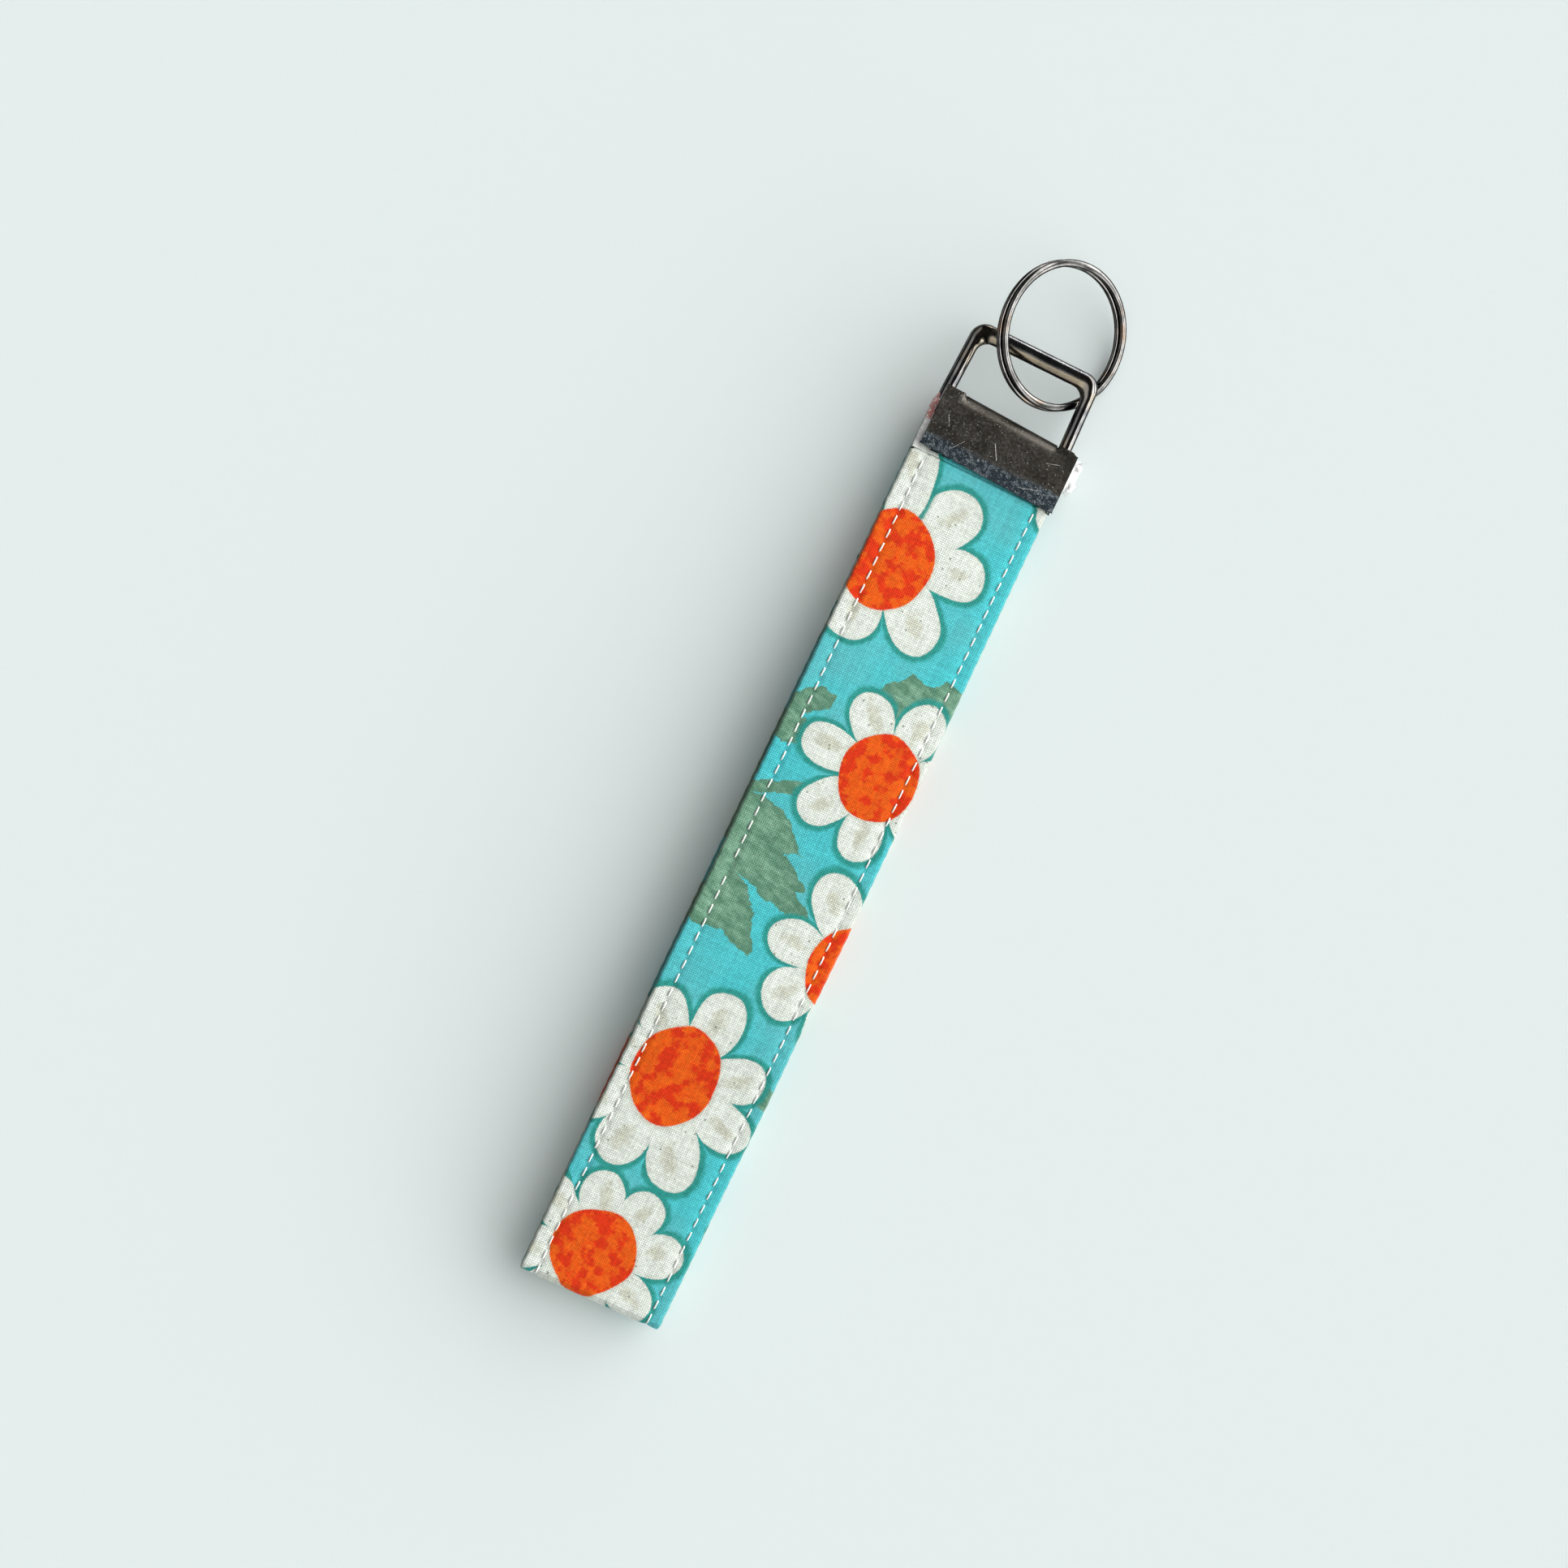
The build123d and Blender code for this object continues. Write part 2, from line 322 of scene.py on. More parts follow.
def finish_shader(shader, **settings):
    for name, setting in settings.items():
        plug(shader.inputs[name.replace("_", " ")], setting)


# ---------------------------------------------------------------- the print

TEAL = (0.078, 0.600, 0.640)
TEAL_DULL = (0.115, 0.560, 0.590)
HALO = (0.024, 0.315, 0.265)
PETAL = (0.850, 0.910, 0.835)
PETAL_SHADE = (0.740, 0.790, 0.700)
BEIGE = (0.620, 0.630, 0.490)
SPECK = (0.190, 0.220, 0.150)
ORANGE = (0.890, 0.106, 0.001)
ORANGE_LIGHT = (0.920, 0.150, 0.005)
RED_ORANGE = (0.780, 0.036, 0.001)
LEAF = (0.105, 0.260, 0.165)
LEAF_LIGHT = (0.240, 0.450, 0.310)

RAW_FROM = 155.0  # the strap's own edge layers show beside the clamp
RAW_WHITE = (0.86, 0.87, 0.85)
RAW_RED = (0.52, 0.10, 0.085)
# colour of the painted shade along the strap's two long edges
PAINTED_EDGE_SHADE = (0.075, 0.085, 0.070)
REPEAT_U, REPEAT_V = 46.0, 172.0  # the print's repeat
LOW_U, LOW_V = -10.0, -10.5
PETAL_ROOT = 3.4  # where a petal starts, from its daisy's centre
WEAVE_PITCH = 0.36
TWIST_PITCH = 0.42  # of the thread

# Each daisy: centre, half sizes of its disc, petals, petal length and half width, turn in degrees,
# seed, and for some how far the petals sit below the disc
DAISIES = (
    ((28.2, 69.1), (6.6, 7.4), 7, 16.4, 4.4, 124, 3),
    ((37.0, 159.0), (6.0, 6.4), 7, 14.6, 4.0, 205, 5),
    ((-11.0, 22.0), (4.6, 5.0), 7, 9.2, 3.2, 10, 8),
    ((4.7, 135.1), (7.6, 8.9), 7, 18.2, 4.7, 3, 1, -1.5),
    ((4.7, 135.1), (7.6, 8.9), 1, 23.0, 5.0, 101, 9, -1.5),
    ((19.1, 100.8), (6.9, 7.6), 7, 15.4, 3.9, 22, 2),
    ((10.0, 7.7), (7.3, 7.6), 8, 15.4, 4.0, 18, 6),
    ((9.5, 40.8), (7.6, 8.9), 8, 17.6, 4.3, 30, 4, 1.4),
)

# Each leaf is a few lobes: start, end, half width, and how blunt its ends are
LEAVES = (
    (((-4.0, 82.5), (19.2, 73.4), 2.9, 1.0), ((-9.0, 88.0), (12.8, 83.6), 4.4, 1.0),
     ((-4.0, 82.0), (15.6, 78.4), 3.6, 1.0), ((-5.0, 81.0), (11.8, 64.2), 3.9, 1.0),
     ((-9.0, 74.0), (8.0, 66.6), 3.6, 1.2), ((-9.0, 80.0), (7.0, 79.0), 5.6, 1.2)),
    (((-6.0, 88.4), (15.0, 96.0), 1.3, 12.0),),
    (((-6.0, 101.0), (6.4, 110.4), 2.1, 2.6), ((-8.0, 103.0), (5.4, 101.8), 2.2, 3.0),
     ((-8.0, 100.0), (2.6, 106.0), 3.2, 2.0)),
    (((11.0, 108.5), (20.5, 118.2), 3.0, 2.0), ((15.0, 108.0), (27.0, 119.4), 3.6, 2.0),
     ((20.0, 106.0), (36.0, 114.5), 3.6, 2.0)),
    (((22.6, 44.8), (33.0, 41.5), 1.9, 1.6),),
    (((33.0, 20.0), (45.0, 34.0), 4.2, 1.2), ((36.0, 17.0), (48.0, 22.0), 3.6, 1.2)),
    (((30.0, 88.0), (45.0, 96.0), 3.6, 1.2), ((33.0, 90.0), (42.0, 82.0), 3.2, 1.2)),
)


def repeat(value, low, size):
    """The value, brought into one repeat of the print."""
    return maths("WRAP", value, low + size, low)


def petals(across, along, count, turn, seed, reach, half):
    """(distance outside the petals, how far inside their beige middle) for one ring of petals."""
    sector = 2 * pi / count
    angle = maths("ARCTAN2", along, across) - turn
    radius = maths("SQRT", across * across + along * along)
    number = maths("ROUND", angle / sector)
    luck, colour = chance(maths("FLOORED_MODULO", number, count), seed)
    lean, longer, wider = split(colour)
    local = angle - number * sector + (lean - 0.5) * 0.10
    x = radius * maths("COSINE", local)
    y = radius * maths("SINE", local)
    tip = (longer * 0.16 + 0.90) * reach
    middle = (tip + PETAL_ROOT) * 0.5
    length = (tip - PETAL_ROOT) * 0.5
    width = (wider * 0.16 + 0.88) * half * (x * (0.42 / reach) + 0.72)
    along_part = maths("ABSOLUTE", x - middle) / length
    side_part = y / width
    outside = (maths("SQRT", along_part**2.3 + side_part * side_part) - 1.0) * half
    spot_x = (x - tip * 0.70) / (luck * 1.6 + 2.3)
    spot_y = (y + (lean - 0.5) * 1.2) / (longer * 0.7 + 1.3)
    return outside, 1.0 - (spot_x * spot_x + spot_y * spot_y)


def daisy(colour, art, spot, disc, count, reach, half, turn, seed, drop=0.0):
    """Paints one daisy over the colours so far. Its petals may sit lower than its disc."""
    across = repeat(art["u"] - spot[0], -REPEAT_U / 2, REPEAT_U)
    along = repeat(art["v"] - spot[1], -REPEAT_V / 2, REPEAT_V)
    outside, mark = petals(across, along + drop, count, radians(turn), seed, reach, half)
    colour = mix(colour, HALO, ramp(outside + art["wisp"], 0.45, 1.15, 0.95, 0.0))
    shade = ramp(outside + art["grain"] * 0.6, -0.9, 0.3, 0.0, 0.55)
    white = mix(art["petal"], PETAL_SHADE, shade)
    white = mix(white, BEIGE, ramp(mark + art["blot"] * 0.9, 0.0, 1.1, 0.0, 0.8))
    disc_u, disc_v = across / disc[0], along / disc[1]
    disc_out = maths("SQRT", disc_u * disc_u + disc_v * disc_v) - 1.0
    white = mix(white, BEIGE, ramp(disc_out, 0.0, 0.12, 0.45, 0.0))
    white = mix(white, SPECK, art["specks"])
    colour = mix(colour, white, ramp(outside, -0.16, 0.10, 1.0, 0.0))
    return mix(colour, art["disc"], ramp(disc_out, -0.022, 0.016, 1.0, 0.0))


def leaf(colour, art, lobes):
    """Paints one leaf over the colours so far."""
    inside = None
    for start, end, half, blunt in lobes:
        run = (end[0] - start[0], end[1] - start[1])
        length = hypot(*run)
        x, y = art["base_u"] - start[0], art["base_v"] - start[1]
        share = (x * run[0] + y * run[1]) / length**2
        aside = maths("ABSOLUTE", (x * run[1] - y * run[0]) / length)
        taper = maths("MINIMUM", share * (1.0 - share) * (4.0 * blunt), 1.0)
        found = taper * half - aside
        inside = found if inside is None else maths("MAXIMUM", inside, found)
    edge = inside + art["jag"]
    light = ramp(art["streak"] + inside * 0.10, -0.15, 0.65)
    green = mix(LEAF, LEAF_LIGHT, light)
    return mix(colour, green, ramp(edge, -0.08, 0.14))


def print_art(place):
    """The printed colours: teal cloth with leaves and daisies, loosely painted, with painted shade along
    both long edges.
    """
    _, drift = clouds(place, 0.10, 1.0, 0.3)
    drift_u, drift_v, _ = split(drift)
    _, fray = clouds(place, 2.6, 1.0)
    fray_u, fray_v, _ = split(fray)
    raw_u, raw_v, _ = split(place)
    u = raw_u + (drift_u - 0.5) * 2.2 + (fray_u - 0.5) * 0.26
    v = raw_v + (drift_v - 0.5) * 2.2 + (fray_v - 0.5) * 0.26
    wash, _ = clouds(place, 0.055, 2.0)
    grain, _ = clouds(place, 1.1, 2.0)
    blot, _ = clouds(place, 0.8, 3.0, 0.65)
    mottle, _ = clouds(place, 0.34, 3.0, 0.55)
    streak, _ = clouds(join(raw_u * 0.42 + raw_v, raw_v * 0.42 - raw_u * 0.2), 0.75, 2.0, 0.6)
    dots, dot_pick = cells(place, 0.62)
    fine_dots, fine_pick = cells(place, 1.15)

    blotch = ramp(mottle + (grain - 0.5) * 0.12, 0.450, 0.580)
    orange = mix(ORANGE, ORANGE_LIGHT, ramp(blot, 0.38, 0.7, 0.0, 0.8))
    orange = mix(orange, RED_ORANGE, blotch)
    art = {
        "u": u, "v": v,
        "base_u": repeat(u, LOW_U, REPEAT_U), "base_v": repeat(v, LOW_V, REPEAT_V),
        "grain": grain, "blot": (blot - 0.5) * 2.2, "wisp": (blot - 0.5) * 0.7,
        "streak": (streak - 0.5) * 1.5 + (blot - 0.5) * 0.8,
        "jag": (mottle - 0.5) * 2.6 + (blot - 0.5) * 0.5,
        "petal": mix(PETAL, PETAL_SHADE, ramp(blot, 0.42, 0.72, 0.0, 0.8)),
        "disc": orange,
        "specks": ramp(dots, 0.09, 0.16, 0.7, 0.0) * ramp(dot_pick, 0.45, 0.5)
        + ramp(fine_dots, 0.08, 0.15, 0.45, 0.0) * ramp(fine_pick, 0.6, 0.65),
    }
    colour = mix(TEAL, TEAL_DULL, ramp(wash, 0.40, 0.62))
    for lobes in LEAVES:
        colour = leaf(colour, art, lobes)
    for flower in DAISIES:
        colour = daisy(colour, art, *flower)
    # Painted shade: the folded left edge and the seamed right edge are darkened in colour.
    fold_shade = ramp(raw_u, -0.25, 0.45, 1.0, 0.0) * ramp(raw_u, -1.7, -1.4)
    seam_shade = ramp(raw_u, 25.45, 25.95) * ramp(raw_u, 27.0, 27.2, 1.0, 0.0)
    colour = mix(colour, PAINTED_EDGE_SHADE, fold_shade * 0.68 + seam_shade * 0.5)
    raw_edge = ramp(raw_u + (grain - 0.5) * 0.8, 1.1, 1.5, 1.0, 0.0) * ramp(raw_u, -2.0, -1.8)
    raw_edge = raw_edge * ramp(raw_v, RAW_FROM - 1.0, RAW_FROM + 0.6)
    red = ramp(raw_v + (blot - 0.5) * 3.0, RAW_FROM + 4.2, RAW_FROM + 5.4) * ramp(grain, 0.40, 0.52)
    return mix(colour, mix(RAW_WHITE, RAW_RED, red * 0.8), raw_edge)


def weave(place):
    """(height, shade and tone) of a plain weave, both from 0 to about 1. The colour is painted darker where
    the weave lies low, and the threads differ a little at random.
    """
    _, drift = clouds(place, 0.9, 2.0)
    drift_u, drift_v, _ = split(drift)
    raw_u, raw_v, _ = split(place)
    u = (raw_u + (drift_u - 0.5) * 0.16) / WEAVE_PITCH
    v = (raw_v + (drift_v - 0.5) * 0.16) / WEAVE_PITCH
    wave_u, wave_v = maths("SINE", u * pi), maths("SINE", v * pi)
    across, along = maths("ABSOLUTE", wave_u), maths("ABSOLUTE", wave_v)
    warp = (across**0.6) * (along * 0.55 + 0.45)
    weft = (along**0.6) * (across * 0.55 + 0.45)
    over = maths("GREATER_THAN", wave_u * wave_v, 0.0)
    height = warp * over + weft * (1.0 - over)
    thread_u, _ = chance(maths("FLOOR", u), 3.0)
    thread_v, _ = chance(maths("FLOOR", v), 11.0)
    knot, _ = chance(maths("FLOOR", u), maths("FLOOR", v))
    # painted shade in the weave's hollows, plus random tones of threads and knots
    shade_and_tone = height * 0.34 + 0.75 + (thread_u - 0.5) * 0.10 + (thread_v - 0.5) * 0.10 + (knot - 0.5) * 0.17
    return height, shade_and_tone


def scaled(colour, shade_and_tone):
    """The colour made lighter or darker."""
    return add_node(shade_and_tone.tree, "VectorMath", {0: colour, "Scale": shade_and_tone}, operation="SCALE")[0]


def cotton_material():
    material, tree, shader = new_material("printed_cotton")
    place = flat_place(tree)
    height, shade_and_tone = weave(place)
    fuzz, _ = clouds(place, 9.0, 2.0)
    finish_shader(shader, Base_Color=scaled(print_art(place), shade_and_tone), Roughness=0.86, Specular_IOR_Level=0.22,
                  Sheen_Weight=0.10, Sheen_Roughness=0.45)
    add_bump(shader, height * 0.8 + fuzz * 0.35, 0.10, 0.75)
    return material


def batting_material():
    material, tree, shader = new_material("batting")
    place = solid_place(tree)
    fluff, _ = clouds(place, 2.6, 4.0, 0.65)
    fine, _ = clouds(place, 11.0, 2.0)
    x, y, _ = split(place)
    colour = mix((0.80, 0.81, 0.79), (0.95, 0.955, 0.94), ramp(fluff, 0.35, 0.6))
    printed = ramp(x, -11.6, -11.2, 1.0, 0.0) * ramp(y, 62.0, 63.2) * ramp(fluff, 0.38, 0.48)
    colour = mix(colour, RAW_RED, printed * 0.8)
    finish_shader(shader, Base_Color=colour, Roughness=0.95, Specular_IOR_Level=0.1, Sheen_Weight=0.3)
    add_bump(shader, fluff * 0.7 + fine * 0.3, 0.25, 0.8)
    return material


def thread_material():
    material, tree, shader = new_material("topstitch_thread")
    place = flat_place(tree)
    u, v, _ = split(place)
    twist = maths("ABSOLUTE", maths("SINE", (u + v * 1.4) * (pi / TWIST_PITCH)))
    fibre, _ = clouds(place, 8.0, 2.0)
    # painted shade: the thread is darker in the grooves of its twist
    colour = scaled(mix((0.84, 0.84, 0.78), (0.97, 0.97, 0.93), ramp(fibre, 0.3, 0.6)), twist * 0.22 + 0.82)
    finish_shader(shader, Base_Color=colour, Roughness=0.6, Specular_IOR_Level=0.4, Sheen_Weight=0.15)
    add_bump(shader, twist, 0.05, 0.8)
    return material


# ---------------------------------------------------------------- metals

# Polished metals: dark, light and tan tones, and roughness
BAIL_NICKEL = ((0.060, 0.061, 0.063), (0.125, 0.123, 0.119), (0.155, 0.130, 0.095), 0.075)
RING_NICKEL = ((0.046, 0.046, 0.044), (0.100, 0.098, 0.094), (0.150, 0.100, 0.065), 0.07)

# Scratches on the clamp's front: start, end, half width
SCRATCHES = (
    ((-0.3, 63.3), (1.1, 60.9), 0.05),
    ((-6.6, 59.6), (-5.2, 61.4), 0.035),
    ((6.4, 58.4), (9.8, 59.4), 0.04),
    ((-9.6, 64.4), (-8.7, 62.6), 0.03),
    ((9.0, 64.2), (11.4, 64.9), 0.03),
)


def scratch(place_x, place_y, start, end, half):
    """1 on a fine straight scratch, and 0 away from it."""
    run = (end[0] - start[0], end[1] - start[1])
    length = hypot(*run)
    x, y = place_x - start[0], place_y - start[1]
    share = maths("MINIMUM", maths("MAXIMUM", (x * run[0] + y * run[1]) / length**2, 0.0), 1.0)
    gap_x, gap_y = x - share * run[0], y - share * run[1]
    return ramp(maths("SQRT", gap_x * gap_x + gap_y * gap_y), half * 0.5, half * 1.6, 1.0, 0.0)


def clamp_material():
    """Worn dark nickel: brown-grey and pitted above, with a painted paler sheen towards the left, scraped
    blue-black where the lips are bent in.
    """
    material, tree, shader = new_material("clamp_metal")
    place = solid_place(tree)
    x, y, _ = split(place)
    wash, _ = clouds(place, 0.22, 3.0, 0.6)
    grain, _ = clouds(place, 2.6, 4.0, 0.7)
    fine, _ = clouds(place, 8.5, 3.0, 0.7)
    pits, pit_pick = cells(place, 2.3)
    brushed, _ = clouds(stretch(place, (0.5, 5.0, 1.0)), 1.6, 3.0, 0.7)
    bumps, _ = clouds(place, 1.5, 2.0, 0.6)
    low = ramp(y + (grain - 0.5) * 1.6 + (wash - 0.5) * 1.5, CREST_Y - JAW + LIP_HEIGHT - 0.6,
               CREST_Y - JAW + LIP_HEIGHT + 0.7, 1.0, 0.0)

    colour = mix((0.031, 0.028, 0.023), (0.048, 0.044, 0.038), ramp(wash, 0.36, 0.62))
    # pale mottling of the worn nickel, ramped stronger towards the left as a painted sheen
    mottle_and_left_sheen = ramp(grain, 0.54, 0.70, 0.0, 0.7) * ramp(x, -7.0, 1.0, 1.0, 0.45)
    colour = mix(colour, (0.15, 0.148, 0.139), mottle_and_left_sheen)
    colour = mix(colour, (0.026, 0.024, 0.021), ramp(grain, 0.34, 0.46, 0.7, 0.0))
    scraped = mix((0.018, 0.025, 0.031), (0.046, 0.060, 0.068), ramp(bumps, 0.45, 0.62))
    scraped = mix(scraped, (0.70, 0.76, 0.80), ramp(fine, 0.58, 0.66) * ramp(bumps, 0.46, 0.60, 0.15, 0.8))
    dust = ramp(fine, 0.60, 0.68, 0.0, 0.55) * ramp(grain, 0.44, 0.58)
    colour = mix(colour, (0.28, 0.27, 0.255), dust)
    colour = mix(colour, scraped, low)
    pit = ramp(pits, 0.10, 0.20, 1.0, 0.0) * ramp(pit_pick, 0.62, 0.66)
    colour = mix(colour, (0.50, 0.48, 0.44), pit * ramp(pit_pick, 0.82, 0.86, 0.0, 0.7))
    colour = mix(colour, (0.035, 0.035, 0.03), pit * ramp(pit_pick, 0.82, 0.86, 0.7, 0.0))
    marks = None
    for start, end, half in SCRATCHES:
        found = scratch(x, y + (fine - 0.5) * 0.1, start, end, half)
        marks = found if marks is None else maths("MAXIMUM", marks, found)
    colour = mix(colour, (0.60, 0.59, 0.56), marks * 0.5)
    rough = ramp(grain, 0.3, 0.7, 0.28, 0.42) + brushed * 0.06 - marks * 0.1
    finish_shader(shader, Base_Color=colour, Metallic=1.0, Roughness=rough, Specular_Tint=(0.45, 0.45, 0.45))
    relief = fine * 0.3 + grain * 0.4 + low * (bumps * 0.9 + fine * 0.8) - pit * 0.5 - marks * 0.4
    add_bump(shader, relief, 0.06, 0.6)
    return material


def polished_material(name, dark, light, tan_tint, polish, bar=None):
    """Polished nickel with a little grime, hairlines and tiny pits. A bar is speckled, and has a painted tan
    reflection below.
    """
    material, tree, shader = new_material(name)
    place = solid_place(tree)
    wash, _ = clouds(place, 0.35, 3.0, 0.6)
    tint, _ = clouds(place, 0.16, 2.0)
    fine, _ = clouds(place, 7.0, 3.0, 0.7)
    hair, _ = clouds(stretch(place, (1.0, 0.25, 1.0)), 6.0, 2.0, 0.6)
    pits, pit_pick = cells(place, 2.8)
    colour = mix(dark, light, ramp(wash, 0.36, 0.64))
    colour = mix(colour, tan_tint, ramp(tint, 0.50, 0.66, 0.0, 0.6))
    if bar:
        low, high, end = bar
        x, y, _ = split(place)
        level = ramp(maths("ABSOLUTE", x), end, end + 1.2, 1.0, 0.0)
        # painted tan reflection on the lower face of the bar
        facet = ramp(y, low, low + 0.2) * ramp(y, high - 0.15, high + 0.05, 1.0, 0.0)
        colour = mix(colour, (0.30, 0.255, 0.18), facet * level * ramp(wash, 0.25, 0.5, 0.5, 0.9))
        speckle = ramp(y, high, high + 0.3) * level * ramp(fine, 0.56, 0.66, 0.0, 0.6)
        colour = mix(colour, (0.50, 0.54, 0.60), speckle)
    pit = ramp(pits, 0.06, 0.14, 1.0, 0.0) * ramp(pit_pick, 0.72, 0.76)
    colour = mix(colour, (0.06, 0.055, 0.06), pit * 0.7)
    rough = ramp(fine, 0.35, 0.75, polish, polish + 0.10) + ramp(hair, 0.55, 0.7, 0.0, 0.06)
    finish_shader(shader, Base_Color=colour, Metallic=1.0, Roughness=rough, Specular_Tint=(0.25, 0.25, 0.25))
    add_bump(shader, hair * 0.3 + fine * 0.3 - pit * 0.6, 0.02, 0.5)
    return material


# ---------------------------------------------------------------- mesh helpers

def new_piece(name, points, faces, materials, uvs=None, slots=None, angle=None):
    """A mesh object from points in millimetres."""
    mesh = bpy.data.meshes.new(name)
    mesh.from_pydata([tuple(c * MM for c in p) for p in points], [], faces)
    if uvs is not None:
        layer = mesh.uv_layers.new(name="cloth")
        layer.data.foreach_set("uv", [c for uv in uvs for c in uv])
    for material in materials:
        mesh.materials.append(material)
    if slots is not None:
        mesh.polygons.foreach_set("material_index", slots)
    mesh.update()
    mesh.shade_smooth()
    if angle is not None:
        mesh.set_sharp_from_angle(angle=radians(angle))
    return new_object(name, mesh)


def settle(piece, angle):
    """Applies the piece's modifiers to its mesh."""
    graph = bpy.context.evaluated_depsgraph_get()
    mesh = bpy.data.meshes.new_from_object(piece.evaluated_get(graph))
    piece.modifiers.clear()
    piece.data = mesh
    mesh.shade_smooth()
    mesh.set_sharp_from_angle(angle=radians(angle))
    return piece


def circle(count):
    """Angles evenly round a circle."""
    return [2 * pi * j / count for j in range(count)]


def loft(sections):
    """(points, faces) of a closed tube through sections that all have the same number of points."""
    count = len(sections[0])
    points = [p for section in sections for p in section]
    faces = []
    for here in range(0, len(points) - count, count):
        for j in range(count):
            k = (j + 1) % count
            faces.append((here + j, here + k, here + count + k, here + count + j))
    faces.append(tuple(reversed(range(count))))
    faces.append(tuple(range(len(points) - count, len(points))))
    return points, faces


def joined(parts):
    """One (points, faces) from several."""
    points, faces = [], []
    for part_points, part_faces in parts:
        base = len(points)
        points += part_points
        faces += [tuple(base + i for i in face) for face in part_faces]
    return points, faces


def fix_normals(piece):
    mesh = bmesh.new()
    mesh.from_mesh(piece.data)
    bmesh.ops.recalc_face_normals(mesh, faces=mesh.faces)
    mesh.to_mesh(piece.data)
    mesh.free()


# ---------------------------------------------------------------- strap

def smooth(t):
    """Goes smoothly from 0 to 1 as t does, and stays there."""
    t = np.clip(t, 0.0, 1.0)
    return t * t * (3 - 2 * t)


def centre_line():
    """S, Y, Z and slope of the front layer's middle, from the apex of the fold to the tab's end."""
    step = 0.01
    s = np.arange(0, TAB_END + 1, step)
    angle = (pi / 2) * np.clip(1 - s / FOLD_ARC, 0, 1)
    for place, turn, ease in zip(HINGE_S, (TURN, -TURN, -TURN, TURN), EASE):
        angle = angle + turn * smooth((s - place + ease) / (2 * ease))
    run_y, run_z = np.cos(angle), np.sin(angle)
    y = APEX_Y + np.concatenate([[0], np.cumsum((run_y[1:] + run_y[:-1]) / 2)]) * step
    z = MIDDLE_Z + np.concatenate([[0], np.cumsum((run_z[1:] + run_z[:-1]) / 2)]) * step
    return s, y, z, angle


LINE = centre_line()


def on_line(s):
    """Middle point and outward normal of the strap at S, as (y, z, normal y, normal z)."""
    y, z, angle = (float(np.interp(abs(s), LINE[0], values)) for values in LINE[1:])
    if s >= 0:
        return y, z, -sin(angle), cos(angle)
    return y, 2 * MIDDLE_Z - z, -sin(angle), -cos(angle)


def face_height(x, s, side):
    """Distance from the strap's middle to its outer (side 1) or inner (side -1) face."""
    calm = float(smooth((PIVOT_S - abs(s)) / 4.0))  # evenly thick where the front layer turns in its socket
    height = HALF_THICK + 0.035 * calm * noise.noise(Vector((x * 0.16, s * 0.11, 7.0 * side)))
    height -= 0.05 * smooth((abs(x) - 9.4) / 1.5)
    beat = cos(2 * pi * s / PITCH)
    for row in ROWS:
        near = exp(-(((x - row) / 0.55) ** 2))
        height -= near * (0.105 + 0.045 * beat)
        pucker = 0.018 * beat * exp(-(((x - row) / 1.8) ** 2))
        height += pucker * noise.noise(Vector((s * 0.19, row, 3.0 * side)))
    if side > 0:
        past = abs(s) - PIVOT_S
        height -= LIP_BEND * float(smooth((past - 0.2) / 0.8) - smooth((past - 1.9) / 1.8))
    return height


def section_columns():
    """Round the strap from its side seam: (x, height share, side, place round the cloth)."""
    edge = HALF_WIDTH - EDGE_ROUND
    flat = [12.3, 11.8, 11.5, 11.15, 10.9, 10.7, 10.5, 10.25, 9.9, 9.2, 8.2, 6.8, 5.2, 3.5, 1.75, 0.0,
            -1.75, -3.5, -5.2, -6.8, -8.1, -9.0, -9.5, -9.8, -10.0, -10.2, -10.4, -10.65, -11.0, -11.5,
            -11.8, -12.3]
    seam = {0: 0.30, 9: 0.08}  # the cover's edges meet in a groove on the right
    right = [(edge + EDGE_ROUND * cos(radians(a)) - seam.get(a, 0.0), sin(radians(a)))
             for a in (0, 9, 22, 42, 65, 90)]
    left = [(-edge - EDGE_ROUND * cos(radians(a)), sin(radians(a)))
            for a in (90, 65, 42, 20, 0, -20, -42, -65, -90)]
    columns = [(x, share, 1) for x, share in right] + [(x, 1.0, 1) for x in flat]
    columns += [(x, share, 1 if share >= 0 else -1) for x, share in left]
    columns += [(x, -1.0, -1) for x in reversed(flat)]
    columns += [(x, -share, -1) for x, share in reversed(right[1:])]
    round_place = [0.0]
    for (x0, h0, _), (x1, h1, _) in zip(columns, columns[1:] + columns[:1]):
        round_place.append(round_place[-1] + hypot(x1 - x0, (h1 - h0) * HALF_THICK))
    start = HALF_WIDTH + columns[6][0] + round_place[6]
    return columns, [start - place for place in round_place]


COLUMNS, ROUND_PLACE = section_columns()


def strap_section(s, above=(0.0, 1.0), below=(0.0, 1.0)):
    """The strap's outline at S. Each half may be moved along the strap and thinned, for a rounded end."""
    y, z, normal_y, normal_z = on_line(s)
    wobble = 0.10 * noise.noise(Vector((s * 0.06, 2.0, 5.0)))
    points = []
    for x, share, side in COLUMNS:
        along, thin = above if share > 0 else below
        full = face_height(x, s, side)
        height = full * share * thin
        reach = along * full * max(abs(share), SEAM_SHARE) / HALF_THICK
        pull = 0.035 * cos(2 * pi * s / PITCH) * smooth((abs(x) - 12.2) / 0.6) * (1 if x < 0 else -1)
        points.append((x + wobble + float(pull), y + reach + normal_y * height,
                       max(z + normal_z * height, 0.0)))
    return points


def round_end():
    """The half-round end of the front layer, from its widest to its tip."""
    sections = []
    for a in (15, 30, 45, 60, 72, 82):
        bend = (END_SLIM * HALF_THICK * sin(radians(a)), END_SLIM * cos(radians(a)))
        section = [(x * END_NARROW, y, z) for x, y, z in strap_section(PIVOT_S, bend, bend)]
        sections.append((section, PIVOT_S + bend[0]))
    return sections


